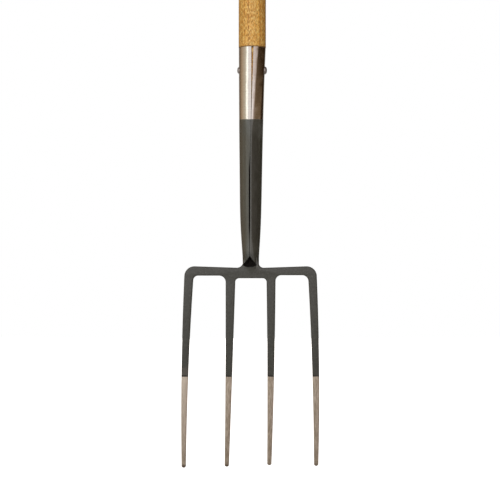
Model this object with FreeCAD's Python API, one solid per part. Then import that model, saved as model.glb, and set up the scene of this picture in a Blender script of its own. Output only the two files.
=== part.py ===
import FreeCAD, Part
import math
import os

# A digging fork: a forged four-tine head with a rolled, slit socket, riveted on an ash shaft that is
# split at the top into a Y, with a turned cross grip between the arms. Millimetres.
# +Z is up the shaft and the longest tine's tip is at z = 0. X runs across the tines, with x = 0 midway
# between the outer ones. +Y is the front, where the tines curve to. The socket's seam faces -Y.

Vector = FreeCAD.Vector

# Further than any piece reaches to the side, for the shapes that cut right through.
THROUGH = 200.0

# Tines. Each one: x of its middle at the shoulder, at the paint line and at the tip, its width at the
# shoulder, and the height of its tip. Forged by hand, so no two are alike.
TINES = (
    (-86.4, -92.2, -94.6, 13.3, 0.0),
    (-28.0, -30.5, -33.6, 13.6, 1.4),
    (28.6, 28.3, 26.6, 12.6, 3.4),
    (86.6, 91.6, 92.9, 12.2, 2.5),
)
TINE_MID_Z = 131.0
TINE_MID_WIDTH = 9.3
TINE_TIP_WIDTH = 6.1
TIP_ROUND_HEIGHT = 3.6
TIP_BEVEL_DEPTH, TIP_BEVEL_TILT = 2.2, 50.0
TIP_BEVEL_LENGTH = 20.0
FORGED_EDGE_RADIUS = 1.8

# Side view of the crossbar and tines: y of the middle and thickness along Y, at three heights.
CROSSBAR_Y, CROSSBAR_THICKNESS = -3.0, 12.5
TINE_MID_Y, TINE_MID_THICKNESS = 4.5, 9.0
TINE_TIP_Y, TINE_TIP_THICKNESS = 24.0, 5.4

# Crossbar, in front view.
CROSSBAR_OUTER_Z = 286.0
CROSSBAR_NECK_Z = 283.3
CROSSBAR_HALF_WIDTH = 91.8
OUTER_CORNER_RADIUS = 14.0
WINDOW_TOP_Z = (272.5, 268.9, 273.1)
WINDOW_CORNER_RADII = ((7.0, 9.0), (5.5, 5.5), (8.0, 9.0))
NECK_X, NECK_FOOT_HALF_WIDTH = 0.4, 12.2
NECK_TOP_HALF_WIDTH, NECK_TOP_Z = 8.5, 303.0
NECK_FILLET_RADII = {-1: 9.0, 1: 7.0}

# Socket, from the mouth down to where it fades into the crossbar: z, x and y of the middle, the outer
# half widths along X and Y, and how many degrees right of the back a hammered ridge runs. From the
# ridge a flat goes on round to the right.
SHAFT_X = 2.4
SOCKET_MOUTH_Z = 590.8
SOCKET_STATIONS = (
    (SOCKET_MOUTH_Z, SHAFT_X, 0.0, 18.9, 18.9, 29.0),
    (551.7, 1.6, 0.0, 18.0, 18.0, 23.0),
    (491.7, 0.8, 0.0, 17.0, 17.0, 10.0),
    (428.7, 0.5, 0.0, 15.85, 15.85, 2.0),
    (361.7, 0.1, -0.4, 15.15, 15.0, 3.0),
    (328.7, 0.2, -1.4, 13.6, 13.2, 8.0),
    (306.7, 0.3, -2.2, 12.0, 11.3, 20.0),
    (295.7, 0.3, -2.6, 11.3, 10.2, 30.0),
    (283.7, 0.5, -2.9, 11.4, 8.4, 36.0),
    (272.0, 0.5, CROSSBAR_Y, 10.6, 5.6, 36.0),
)
RING_STEPS, FLAT_STEPS = 36, 4
RING_COUNT = 24
SOCKET_WALL = 2.5
CAVITY_FLOOR_Z = 283.0

# Seam of the rolled socket: z, x of its middle and its width, from the open V at the mouth down
# through the butted stretch and the open slit to the triangular arch above the crossbar.
SEAM = (
    (593.0, 2.6, 3.2),
    (554.0, 2.0, 2.1),
    (514.0, 1.2, 0.5),
    (444.0, -0.4, 0.4),
    (424.0, -1.0, 1.4),
    (379.0, -1.6, 1.8),
    (339.0, -1.5, 1.3),
    (322.0, -1.5, 0.5),
    (296.0, -1.5, 0.5),
)
ARCH_APEX_Z, ARCH_FOOT_Z = 300.5, 287.5
ARCH_X, ARCH_HALF_WIDTH = -1.2, 10.2
ARCH_SIDE_SAG, ARCH_FLOOR_SAG = 0.4, 3.6
ARCH_INNER_Y = 1.0

# Shaft: 1 1/2 in ash, parallel and then tapered slightly towards the split, shouldered to fit the
# socket.
SHAFT_RADIUS = 38.1 / 2
SHAFT_TAPER_Z = 764.0
SHAFT_TOP_RADIUS = 18.0
PLUG_END_Z = 440.0
FIT_GAP = 0.1

# The split and the Y. Each arm is half of the shaft, steamed outwards and back to upright.
SPLIT_Z = 905.0
SAW_KERF_HALF = 0.75
ARM_CORNER_RADIUS = 3.5
BEND_RADIUS = 70.0
BEND_ANGLE = math.radians(35)
ARM_SPREAD = 44.0
GRIP_Z = 1062.0
WEDGE_FOOT_Z, WEDGE_TOP_Z = 905.2, 938.0
WEDGE_HALF_DEPTH = 16.0
WEDGE_TOP_SAG = 5.0

# Cross grip.
GRIP_END_RADIUS = 14.0
GRIP_MIDDLE_RADIUS = 16.5
TENON_RADIUS, TENON_LENGTH = 8.0, 11.0

# Rivets and washers.
RIVET_RADIUS = 3.0
SOCKET_RIVET_X, SOCKET_RIVET_Z = 1.8, 559.6
SOCKET_RIVET_HALF_LENGTH = 18.2
SOCKET_RIVET_HEADS = {-1: (4.6, 2.2), 1: (5.6, 2.9)}
CROTCH_RIVET_Z = 893.0
HANDLE_RIVET_HEAD = (5.0, 2.0)
HEAD_RIM, BEDDING_RIM = 0.6, 2.0
WASHER_RADIUS, WASHER_THICKNESS = 8.0, 1.5
SPOT_FACE_RADIUS, SPOT_FACE_DEPTH = 8.6, 2.2


def arc(start, middle, end):
    return Part.Arc(start, middle, end).toShape()


def line(start, end):
    return Part.LineSegment(start, end).toShape()


def x_cylinder(radius, x_low, x_high, z):
    return Part.makeCylinder(radius, x_high - x_low, Vector(x_low, 0, z), Vector(1, 0, 0))


def x_profile_turned(points_and_arcs, z):
    """Turn a closed list of edges, drawn as (x, radius) in the plane y = 0, about the X line at z."""
    face = Part.Face(Part.Wire(points_and_arcs))
    return face.revolve(Vector(0, 0, z), Vector(1, 0, 0), 360)


def head_outline():
    """Front outline of the crossbar, tines and neck stub, with sharp corners, in the plane y = 0."""

    def at(x, z):
        return Vector(x, 0, z)

    top = [
        at(CROSSBAR_HALF_WIDTH, CROSSBAR_OUTER_Z),
        at(NECK_X + NECK_FOOT_HALF_WIDTH, CROSSBAR_NECK_Z),
        at(NECK_X + NECK_TOP_HALF_WIDTH, NECK_TOP_Z),
        at(NECK_X - NECK_TOP_HALF_WIDTH, NECK_TOP_Z),
        at(NECK_X - NECK_FOOT_HALF_WIDTH, CROSSBAR_NECK_Z),
        at(-CROSSBAR_HALF_WIDTH, CROSSBAR_OUTER_Z),
    ]
    edges = [line(a, b) for a, b in zip(top, top[1:])]
    here = top[-1]
    for index, (root_x, mid_x, tip_x, root_width, tip_z) in enumerate(TINES):
        half_tip, shoulder_z = TINE_TIP_WIDTH / 2, tip_z + TIP_ROUND_HEIGHT
        tip_left, tip_right = at(tip_x - half_tip, shoulder_z), at(tip_x + half_tip, shoulder_z)
        edges.append(arc(here, at(mid_x - TINE_MID_WIDTH / 2, TINE_MID_Z), tip_left))
        edges.append(arc(tip_left, at(tip_x, tip_z), tip_right))
        last = index == len(TINES) - 1
        root = top[0] if last else at(root_x + root_width / 2, WINDOW_TOP_Z[index])
        edges.append(arc(tip_right, at(mid_x + TINE_MID_WIDTH / 2, TINE_MID_Z), root))
        if not last:
            next_x, next_width = TINES[index + 1][0], TINES[index + 1][3]
            here = at(next_x - next_width / 2, WINDOW_TOP_Z[index])
            edges.append(line(root, here))
    return Part.Wire(edges)


def corner_edges(solid, x, z):
    """The edges along Y through the outline's corner at (x, z)."""
    found = []
    for edge in solid.Edges:
        a, b = edge.Vertexes[0].Point, edge.Vertexes[-1].Point
        if max(abs(a.x - x), abs(b.x - x), abs(a.z - z), abs(b.z - z)) < 0.01:
            found.append(edge)
    return found


def head_side_view():
    """The crossbar's and tines' thickness and forward curve, as a band in the plane x = 0."""
    top_z = NECK_TOP_Z + 2
    rows = (
        (CROSSBAR_Y, CROSSBAR_THICKNESS / 2, top_z),
        (TINE_MID_Y, TINE_MID_THICKNESS / 2, TINE_MID_Z),
        (TINE_TIP_Y, TINE_TIP_THICKNESS / 2, -1),
    )
    back = [Vector(0, y - half, z) for y, half, z in rows]
    front = [Vector(0, y + half, z) for y, half, z in rows]
    return Part.Wire([arc(*back), line(back[2], front[2]), arc(*front[::-1]), line(front[0], back[0])])


def tines_and_crossbar():
    plate = Part.Face(head_outline()).extrude(Vector(0, 2 * THROUGH, 0))
    plate.translate(Vector(0, -THROUGH, 0))
    corners = [(side * CROSSBAR_HALF_WIDTH, CROSSBAR_OUTER_Z, OUTER_CORNER_RADIUS) for side in (-1, 1)]
    for side, radius in NECK_FILLET_RADII.items():
        corners.append((NECK_X + side * NECK_FOOT_HALF_WIDTH, CROSSBAR_NECK_Z, radius))
    for index, radii in enumerate(WINDOW_CORNER_RADII):
        left, right = TINES[index], TINES[index + 1]
        corners.append((left[0] + left[3] / 2, WINDOW_TOP_Z[index], radii[0]))
        corners.append((right[0] - right[3] / 2, WINDOW_TOP_Z[index], radii[1]))
    for x, z, radius in corners:
        plate = plate.makeFillet(radius, corner_edges(plate, x, z))

    band = Part.Face(head_side_view()).extrude(Vector(2 * THROUGH, 0, 0))
    band.translate(Vector(-THROUGH, 0, 0))
    forging = plate.common(band).Solids[0]
    broad_faces = sorted(forging.Faces, key=lambda face: face.Area)[-2:]
    rims = [edge for face in broad_faces for edge in face.Edges if edge.BoundBox.ZMin < NECK_TOP_Z - 1]
    forging = forging.makeFillet(FORGED_EDGE_RADIUS, rims)

    for _, _, tip_x, _, tip_z in TINES:
        tip_back, side = TINE_TIP_Y - TINE_TIP_THICKNESS / 2, TIP_BEVEL_LENGTH
        cutter = Part.makeBox(side, side, side, Vector(tip_x - side / 2, -side, -side))
        cutter.rotate(Vector(0, 0, 0), Vector(1, 0, 0), -TIP_BEVEL_TILT)
        cutter.translate(Vector(0, tip_back + TIP_BEVEL_DEPTH, tip_z))
        forging = forging.cut(cutter)
    return forging


def ring(z, x, y, half_x, half_y, ridge):
    """A closed, level oval that starts on the socket's ridge and goes first along its flat."""
    step_angle = 2 * math.pi / RING_STEPS
    half_flat = FLAT_STEPS * step_angle / 2
    points = []
    for step in range(RING_STEPS):
        turn = math.radians(ridge) + step * step_angle
        chord = math.cos(half_flat) / math.cos(step * step_angle - half_flat) if step <= FLAT_STEPS else 1
        points.append(Vector(x + half_x * chord * math.sin(turn), y - half_y * chord * math.cos(turn), z))
    oval = Part.BSplineCurve()
    oval.interpolate(points, PeriodicFlag=True)
    return Part.Wire(oval.toShape())


def socket_form(inset, floor_z):
    """The socket's smooth tapering form, drawn in by inset all round and cut off level at floor_z."""
    guides = []
    for first, second in ((1, 2), (3, 4), (5, 5)):
        guide = Part.BSplineCurve()
        guide.buildFromPoles([Vector(row[0], row[first], row[second]) for row in SOCKET_STATIONS])
        guides.append(guide)
    rings = []
    for step in range(RING_COUNT + 1):
        along = step / RING_COUNT
        middle, half, ridge = [guide.value(along) for guide in guides]
        rings.append(ring(middle.x, middle.y, middle.z, half.y - inset, half.z - inset, ridge.y))
    form = Part.makeLoft(rings, True, False)
    below = Part.makeBox(2 * THROUGH, 2 * THROUGH, floor_z + THROUGH, Vector(-THROUGH, -THROUGH, -THROUGH))
    return form.cut(below)


def seam_cutters():
    """The gap between the rolled socket's lips, through the back wall, and the arch, deep into the neck."""
    lips = []
    for side in (-1, 1):
        lip = Part.BSplineCurve()
        lip.buildFromPoles([Vector(x + side * width / 2, 0, z) for z, x, width in SEAM])
        lips.append(lip)
    ends = (lips[0].FirstParameter, lips[0].LastParameter)
    top, bottom = [[lip.value(end) for lip in lips] for end in ends]
    gap = Part.Wire([lips[0].toShape(), line(*bottom), lips[1].toShape(), line(*top)])
    apex = Vector(ARCH_X, 0, ARCH_APEX_Z)
    feet = [Vector(ARCH_X + side * ARCH_HALF_WIDTH, 0, ARCH_FOOT_Z) for side in (-1, 1)]
    left, right = [(apex + foot) * 0.5 for foot in feet]
    left -= Vector(-1, 0, 1) * ARCH_SIDE_SAG
    right -= Vector(1, 0, 1) * ARCH_SIDE_SAG
    floor = Vector(ARCH_X, 0, ARCH_FOOT_Z - ARCH_FLOOR_SAG)
    arch = Part.Wire([arc(feet[0], left, apex), arc(apex, right, feet[1]), arc(feet[1], floor, feet[0])])
    cutters = []
    for outline, inner_y in ((gap, CROSSBAR_Y), (arch, ARCH_INNER_Y)):
        cutter = Part.Face(outline).extrude(Vector(0, -THROUGH, 0))
        cutter.translate(Vector(0, inner_y, 0))
        cutters.append(cutter)
    return cutters


def fork_head():
    head = tines_and_crossbar().fuse(socket_form(0, 0))
    head = head.cut(socket_form(SOCKET_WALL, CAVITY_FLOOR_Z))
    for cutter in seam_cutters():
        head = head.cut(cutter)
    return head.cut(x_cylinder(RIVET_RADIUS + FIT_GAP, -THROUGH, THROUGH, SOCKET_RIVET_Z))


def arm_section():
    """Half of the sawn shaft with its two sharp corners rounded, level, for the arm on the +X side."""
    big, small, flat = SHAFT_TOP_RADIUS, ARM_CORNER_RADIUS, SAW_KERF_HALF
    centre_x = flat + small
    centre_y = math.sqrt((big - small) ** 2 - centre_x ** 2)
    reach = big / (big - small)
    edges = []
    for side in (-1, 1):
        centre = Vector(centre_x, side * centre_y, 0)
        outward = Vector(centre_x, side * centre_y, 0).normalize()
        middle = (outward + Vector(-1, 0, 0)).normalize()
        edges.append(arc(Vector(flat, side * centre_y, 0), centre + middle * small, centre * reach))
    edges.append(line(Vector(flat, -centre_y, 0), Vector(flat, centre_y, 0)))
    edges.append(arc(Vector(centre_x * reach, -centre_y * reach, 0), Vector(big, 0, 0),
                     Vector(centre_x * reach, centre_y * reach, 0)))
    return Part.Wire(Part.__sortEdges__(edges))


def arm_path():
    """Up from the split, out, straight, back to upright, and straight to above the grip."""
    sin, cos = math.sin(BEND_ANGLE), math.cos(BEND_ANGLE)
    half_sin, half_cos = math.sin(BEND_ANGLE / 2), math.cos(BEND_ANGLE / 2)
    straight = (ARM_SPREAD - 2 * BEND_RADIUS * (1 - cos)) / sin
    start = Vector(0, 0, SPLIT_Z)
    first_end = start + Vector(BEND_RADIUS * (1 - cos), 0, BEND_RADIUS * sin)
    second_start = first_end + Vector(straight * sin, 0, straight * cos)
    second_end = second_start + Vector(BEND_RADIUS * (1 - cos), 0, BEND_RADIUS * sin)
    first_middle = start + Vector(BEND_RADIUS * (1 - half_cos), 0, BEND_RADIUS * half_sin)
    second_centre = second_end - Vector(BEND_RADIUS, 0, 0)
    second_middle = second_centre + Vector(BEND_RADIUS * half_cos, 0, -BEND_RADIUS * half_sin)
    top = Vector(second_end.x, 0, GRIP_Z + 2 * SHAFT_TOP_RADIUS)
    return Part.Wire([arc(start, first_middle, first_end), line(first_end, second_start),
                      arc(second_start, second_middle, second_end), line(second_end, top)])


def y_arms():
    """Both arms about x = 0, each rounded over at its top about the grip's axis."""
    section = arm_section()
    section.translate(Vector(0, 0, SPLIT_Z))
    right = arm_path().makePipeShell([section], True, False)
    rounded_top = x_cylinder(SHAFT_TOP_RADIUS, -THROUGH, THROUGH, GRIP_Z)
    below = Part.makeBox(2 * THROUGH, 2 * THROUGH, GRIP_Z - SPLIT_Z, Vector(-THROUGH, -THROUGH, SPLIT_Z))
    right = right.common(rounded_top.fuse(below))
    return right, right.mirror(Vector(0, 0, 0), Vector(1, 0, 0))


def rivet_seats(x_half, z):
    """Material taken off the wood for one cross rivet: its hole and a flat under each washer."""
    clear_x, seat_x = x_half + SPOT_FACE_RADIUS, x_half - SPOT_FACE_DEPTH
    seats = x_cylinder(RIVET_RADIUS + FIT_GAP, -clear_x, clear_x, z)
    for low, high in ((-clear_x, -seat_x), (seat_x, clear_x)):
        seats = seats.fuse(x_cylinder(SPOT_FACE_RADIUS, low, high, z))
    return seats


ARM_OUTER_X = ARM_SPREAD + SHAFT_TOP_RADIUS
ARM_INNER_X = ARM_SPREAD + SAW_KERF_HALF


def shaft():
    parallel = Part.makeCylinder(SHAFT_RADIUS, SHAFT_TAPER_Z - SOCKET_MOUTH_Z, Vector(0, 0, SOCKET_MOUTH_Z))
    taper_length = SPLIT_Z - SHAFT_TAPER_Z
    taper = Part.makeCone(SHAFT_RADIUS, SHAFT_TOP_RADIUS, taper_length, Vector(0, 0, SHAFT_TAPER_Z))
    wood = parallel.fuse([taper, *y_arms()])
    wood = wood.cut(rivet_seats(ARM_OUTER_X, GRIP_Z)).cut(rivet_seats(SHAFT_TOP_RADIUS, CROTCH_RIVET_Z))
    tenon_hole = x_cylinder(TENON_RADIUS + FIT_GAP, -ARM_INNER_X - TENON_LENGTH - FIT_GAP,
                            ARM_INNER_X + TENON_LENGTH + FIT_GAP, GRIP_Z)
    wood = wood.cut(tenon_hole)
    wood.translate(Vector(SHAFT_X, 0, 0))
    plug = socket_form(SOCKET_WALL + FIT_GAP, PLUG_END_Z)
    plug = plug.cut(x_cylinder(RIVET_RADIUS + FIT_GAP, -THROUGH, THROUGH, SOCKET_RIVET_Z))
    return wood.fuse(plug).removeSplitter()


def crotch_wedge():
    """The filler between the arms just above the split, saddled on top."""
    face_radius = BEND_RADIUS - SAW_KERF_HALF + FIT_GAP

    def on_arm(side, z):
        return Vector(side * (BEND_RADIUS - math.sqrt(face_radius ** 2 - (z - SPLIT_Z) ** 2)), 0, z)

    heights = (WEDGE_FOOT_Z, (WEDGE_FOOT_Z + WEDGE_TOP_Z) / 2, WEDGE_TOP_Z)
    corners = {side: [on_arm(side, z) for z in heights] for side in (-1, 1)}
    saddle = Vector(0, 0, WEDGE_TOP_Z - WEDGE_TOP_SAG)
    outline = Part.Wire([arc(*corners[-1]), arc(corners[-1][2], saddle, corners[1][2]),
                         arc(*corners[1][::-1]), line(corners[1][0], corners[-1][0])])
    wedge = Part.Face(outline).extrude(Vector(0, 2 * WEDGE_HALF_DEPTH, 0))
    wedge.translate(Vector(SHAFT_X, -WEDGE_HALF_DEPTH, 0))
    return wedge


def cross_grip():
    """A barrel-turned hand grip with a tenon at each end and a hole for its rod."""
    def at(x, radius):
        return Vector(x, 0, GRIP_Z + radius)

    end_x = ARM_INNER_X - FIT_GAP
    tip_x = end_x + TENON_LENGTH
    bore = RIVET_RADIUS + FIT_GAP
    edges = [
        line(at(-tip_x, bore), at(-tip_x, TENON_RADIUS)),
        line(at(-tip_x, TENON_RADIUS), at(-end_x, TENON_RADIUS)),
        line(at(-end_x, TENON_RADIUS), at(-end_x, GRIP_END_RADIUS)),
        arc(at(-end_x, GRIP_END_RADIUS), at(0, GRIP_MIDDLE_RADIUS), at(end_x, GRIP_END_RADIUS)),
        line(at(end_x, GRIP_END_RADIUS), at(end_x, TENON_RADIUS)),
        line(at(end_x, TENON_RADIUS), at(tip_x, TENON_RADIUS)),
        line(at(tip_x, TENON_RADIUS), at(tip_x, bore)),
        line(at(tip_x, bore), at(-tip_x, bore)),
    ]
    grip = x_profile_turned(edges, GRIP_Z)
    grip.translate(Vector(SHAFT_X, 0, 0))
    return grip


def domed_head(seat_x, side, radius, height, rim, z):
    """A rivet head: a round cap that rises by height from seat_x towards side, on a straight rim."""
    ball_radius = (radius ** 2 + height ** 2) / (2 * height)
    ball = Part.makeSphere(ball_radius, Vector(seat_x + side * (height - ball_radius), 0, z))
    ends = sorted((seat_x - side * rim, seat_x + side * 2 * height))
    return ball.common(x_cylinder(radius, ends[0], ends[1], z))


def socket_rivet():
    """A through rivet: factory head on +X, peened over on -X, both bedded on the round socket."""
    x_by_side = {side: SOCKET_RIVET_X + side * SOCKET_RIVET_HALF_LENGTH for side in (-1, 1)}
    rivet = x_cylinder(RIVET_RADIUS, x_by_side[-1], x_by_side[1], SOCKET_RIVET_Z)
    bed = socket_form(0, 0).cut(x_cylinder(RIVET_RADIUS, -THROUGH, THROUGH, SOCKET_RIVET_Z))
    for side, (radius, height) in SOCKET_RIVET_HEADS.items():
        dome = domed_head(x_by_side[side], side, radius, height, BEDDING_RIM, SOCKET_RIVET_Z)
        rivet = rivet.fuse(dome.cut(bed))
    return rivet.removeSplitter()


def cross_rivet(x_half, z):
    """A steel rod riveted over a washer at each end, centred on the shaft."""
    seat_x = x_half - SPOT_FACE_DEPTH + WASHER_THICKNESS
    rod = x_cylinder(RIVET_RADIUS, -seat_x, seat_x, z)
    for side in (-1, 1):
        rod = rod.fuse(domed_head(side * (seat_x + HEAD_RIM), side, *HANDLE_RIVET_HEAD, HEAD_RIM, z))
    rod.translate(Vector(SHAFT_X, 0, 0))
    return rod.removeSplitter()


def washer(x_half, z, side):
    seat_x = x_half - SPOT_FACE_DEPTH
    low = seat_x if side > 0 else -seat_x - WASHER_THICKNESS
    disc = x_cylinder(WASHER_RADIUS, low, low + WASHER_THICKNESS, z)
    disc = disc.cut(x_cylinder(RIVET_RADIUS + FIT_GAP, low - 1, low + WASHER_THICKNESS + 1, z))
    disc.translate(Vector(SHAFT_X, 0, 0))
    return disc


nodes = {
    "fork_head": fork_head(),
    "shaft": shaft(),
    "crotch_wedge": crotch_wedge(),
    "cross_grip": cross_grip(),
    "socket_rivet": socket_rivet(),
    "grip_rivet": cross_rivet(ARM_OUTER_X, GRIP_Z),
    "crotch_rivet": cross_rivet(SHAFT_TOP_RADIUS, CROTCH_RIVET_Z),
}
for place, x_half, z in (("grip", ARM_OUTER_X, GRIP_Z), ("crotch", SHAFT_TOP_RADIUS, CROTCH_RIVET_Z)):
    for hand, side in (("left", -1), ("right", 1)):
        nodes[f"{place}_washer_{hand}"] = washer(x_half, z, side)

os.makedirs("parts", exist_ok=True)
for name, shape in nodes.items():
    state = "valid" if shape.isValid() else "BROKEN"
    print(name, shape.ShapeType, len(shape.Solids), state, round(shape.Volume))
    shape.exportStep(f"parts/{name}.step")
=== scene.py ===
import bpy
import bmesh
import math
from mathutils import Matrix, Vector


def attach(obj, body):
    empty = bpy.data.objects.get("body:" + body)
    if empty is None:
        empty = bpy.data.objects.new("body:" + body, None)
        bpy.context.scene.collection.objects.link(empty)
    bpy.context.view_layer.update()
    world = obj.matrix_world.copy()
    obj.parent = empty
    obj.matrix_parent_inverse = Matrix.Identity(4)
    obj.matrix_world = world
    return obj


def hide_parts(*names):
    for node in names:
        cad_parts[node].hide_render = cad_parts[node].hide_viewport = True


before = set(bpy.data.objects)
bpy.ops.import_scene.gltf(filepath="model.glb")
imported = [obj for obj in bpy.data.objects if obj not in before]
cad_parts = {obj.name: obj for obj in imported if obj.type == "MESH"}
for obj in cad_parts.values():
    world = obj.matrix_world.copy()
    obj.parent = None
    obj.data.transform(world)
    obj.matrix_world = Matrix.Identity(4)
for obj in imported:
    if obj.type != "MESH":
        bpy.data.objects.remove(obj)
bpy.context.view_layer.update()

scene = bpy.context.scene
MM = 0.001


# ---------------------------------------------------------------------------------------------
# The forged head: crossbar, tines and rolled socket are one piece of steel. It is dipped in dark
# green-grey paint from the socket to half way down the tines; the mouth of the socket is linished
# bright all round and the tine ends are ground bare. The bore keeps its black forge scale, and
# painted shade darkens the bore, the arch and the slit further still.
# ---------------------------------------------------------------------------------------------
# The paint's two edges, how softly each one ends, and how far they waver.
PAINT_TOP_Z, PAINT_TOP_BLUR = 490.3 * MM, 0.25 * MM
PAINT_BOTTOM_Z, PAINT_BOTTOM_BLUR = 130.8 * MM, 0.3 * MM
DIP_WAVER = 2.4 * MM
# Measured up from the lower edge: where the thick bead of paint with its painted shadow, and the
# pale patch, begin, and where each is at its fullest.
BEAD_SHADOW_START, BEAD_SHADOW_FULL = 2.8 * MM, 1.6 * MM
PALE_PATCH_START, PALE_PATCH_FULL = 16.0 * MM, 10.0 * MM
# Down the bare tines: where the tarnish and painted shade are fullest, and where the painted shade
# at the points starts and is full.
TARNISH_AND_SHADE_FULL_Z = 20.0 * MM
POINT_SHADE_START_Z, POINT_SHADE_FULL_Z = 7.0 * MM, 2.0 * MM
# The socket's round: height, x and y of its middle, and its outer half widths along x and y.
SOCKET_ROUND = [[value * MM for value in row] for row in (
    (283.0, 0.5, -2.9, 11.3, 8.2),
    (300.0, 0.3, -2.4, 11.7, 10.8),
    (330.0, 0.2, -1.2, 13.4, 13.0),
    (370.0, 0.1, -0.3, 14.9, 14.8),
    (592.0, 2.3, 0.0, 18.8, 18.8),
)]
# The seam closes to a slit above a small arch; its lips rise to a low ridge, steeper on the right.
ARCH_X, ARCH_HALF_WIDTH, ARCH_FOOT_Z, ARCH_APEX_Z = -1.2 * MM, 10.6 * MM, 286.5 * MM, 301.5 * MM
ARCH_LIP_Y, ARCH_BACK_Y, ARCH_FLOOR_DROP = -7.8 * MM, 1.6 * MM, 4.0 * MM
SLIT_X, SLIT_HALF_WIDTH, SLIT_BLUR = -1.5 * MM, 0.9 * MM, 1.4
SLIT_FOOT_Z, SLIT_FOOT_FADE, SLIT_TOP_Z, SLIT_TOP_FADE = 320.0 * MM, 25.0 * MM, 445.0 * MM, 30.0 * MM
RIDGE_X, RIDGE_REACH, RIDGE_LEFT, RIDGE_RIGHT = 1.2 * MM, 10.0 * MM, 0.36, 0.60
RIDGE_FOOT_Z, RIDGE_FULL_Z, RIDGE_FADE, RIDGE_WRAP = 300.0 * MM, 340.0 * MM, 30.0 * MM, 8.0 * MM
# The bore starts this far in from the socket's outer round, as a share of it.
BORE_SHARE, BORE_BLUR = 0.92, 0.04
SOCKET_FOOT_Z, SOCKET_CLEAR_Z = 300.0 * MM, 310.0 * MM
# Below the crossbar, all that lies left of this is the outer left tine.
LEFT_TINE_EDGE_X = -80.0 * MM
# How deep each mark is: hammered hollows, orange peel, grinding, linishing, and the paint film itself.
HAMMER_DEPTH, PEEL_DEPTH, GRIND_DEPTH = 0.22 * MM, 0.03 * MM, 0.02 * MM
LINISH_DEPTH, PAINT_FILM = 0.002 * MM, 0.12 * MM
# Points nearer to each other than this are one point.
WELD_DISTANCE = 2e-6


def merged_copy(node, name, sharp_degrees):
    """A welded copy of a frame node's mesh, smooth but for edges sharper than the given angle."""
    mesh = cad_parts[node].data.copy()
    mesh.name = name
    work = bmesh.new()
    work.from_mesh(mesh)
    bmesh.ops.remove_doubles(work, verts=work.verts, dist=WELD_DISTANCE)
    work.to_mesh(mesh)
    work.free()
    if mesh.has_custom_normals:
        mesh.attributes.remove(mesh.attributes["custom_normal"])
    mesh.shade_smooth()
    mesh.set_sharp_from_angle(angle=math.radians(sharp_degrees))
    mesh.materials.clear()
    piece = bpy.data.objects.new(name, mesh)
    scene.collection.objects.link(piece)
    return piece


def fit_piece(piece, material, node):
    """Give a piece its finish, and let it stand for its node on the tool."""
    piece.data.materials.clear()
    piece.data.materials.append(material)
    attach(piece, "root")
    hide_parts(node)


def mark_cavity(mesh):
    """Store how deep inside the socket's bore each point lies, from 0 on the outside to 1."""
    depth = mesh.attributes.new("cavity", "FLOAT", "POINT")
    for vertex, mark in zip(mesh.vertices, depth.data):
        x, y, z = vertex.co
        if z < SOCKET_ROUND[0][0]:
            continue
        pairs = zip(SOCKET_ROUND, SOCKET_ROUND[1:])
        low, high = next((pair for pair in pairs if z <= pair[1][0]), SOCKET_ROUND[-2:])
        share = (z - low[0]) / (high[0] - low[0])
        mid_x, mid_y, half_x, half_y = [a + (b - a) * share for a, b in zip(low[1:], high[1:])]
        reach = math.hypot((x - mid_x) / half_x, (y - mid_y) / half_y)
        mark.value = min(max((BORE_SHARE - reach) / BORE_BLUR, 0.0), 1.0)


def new_material(name):
    material = bpy.data.materials.new(name)
    material.use_nodes = True
    return material, material.node_tree, material.node_tree.nodes["Principled BSDF"]


def plug(tree, value, socket):
    """Link a node's output to a socket, or set the socket to a plain number or colour."""
    if isinstance(value, bpy.types.NodeSocket):
        tree.links.new(value, socket)
    elif isinstance(value, tuple) and socket.type == "RGBA":
        socket.default_value = (*value[:3], 1.0)
    else:
        socket.default_value = value


def add_node(tree, kind, *values, **settings):
    """A node of a kind with its settings, and its sockets filled in order."""
    node = tree.nodes.new(kind)
    for key, value in settings.items():
        setattr(node, key, value)
    for value, socket in zip(values, node.inputs):
        plug(tree, value, socket)
    return node


def maths(tree, operation, *values):
    return add_node(tree, "ShaderNodeMath", *values, operation=operation).outputs[0]


def ramp(tree, value, low, high, to_low=0.0, to_high=1.0, curve="SMOOTHSTEP"):
    span = (value, low, high, to_low, to_high)
    return add_node(tree, "ShaderNodeMapRange", *span, interpolation_type=curve).outputs[0]


def mix_value(tree, factor, a, b):
    node = tree.nodes.new("ShaderNodeMix")
    for index, value in ((0, factor), (2, a), (3, b)):
        plug(tree, value, node.inputs[index])
    return node.outputs[0]


def mix_colour(tree, factor, a, b):
    node = tree.nodes.new("ShaderNodeMix")
    node.data_type = "RGBA"
    for index, value in ((0, factor), (6, a), (7, b)):
        plug(tree, value, node.inputs[index])
    return node.outputs[2]


def stretched(tree, vector, x, y, z, shift=(0, 0, 0), turn=(0, 0, 0)):
    return add_node(tree, "ShaderNodeMapping", vector, shift, turn, (x, y, z)).outputs[0]


def noise(tree, vector, scale, detail=2.0, roughness=0.5):
    node = tree.nodes.new("ShaderNodeTexNoise")
    given = {"Vector": vector, "Scale": scale, "Detail": detail, "Roughness": roughness}
    for key, value in given.items():
        plug(tree, value, node.inputs[key])
    return node.outputs["Fac"]


def finish_surface(tree, shader, colour, roughness, metallic, relief):
    """Feed the shader, with the relief given in metres."""
    bump = tree.nodes.new("ShaderNodeBump")
    bump.inputs["Distance"].default_value = 1.0
    plug(tree, relief, bump.inputs["Height"])
    fed = {"Base Color": colour, "Roughness": roughness, "Metallic": metallic, "Normal": bump.outputs[0]}
    for key, value in fed.items():
        plug(tree, value, shader.inputs[key])


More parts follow.
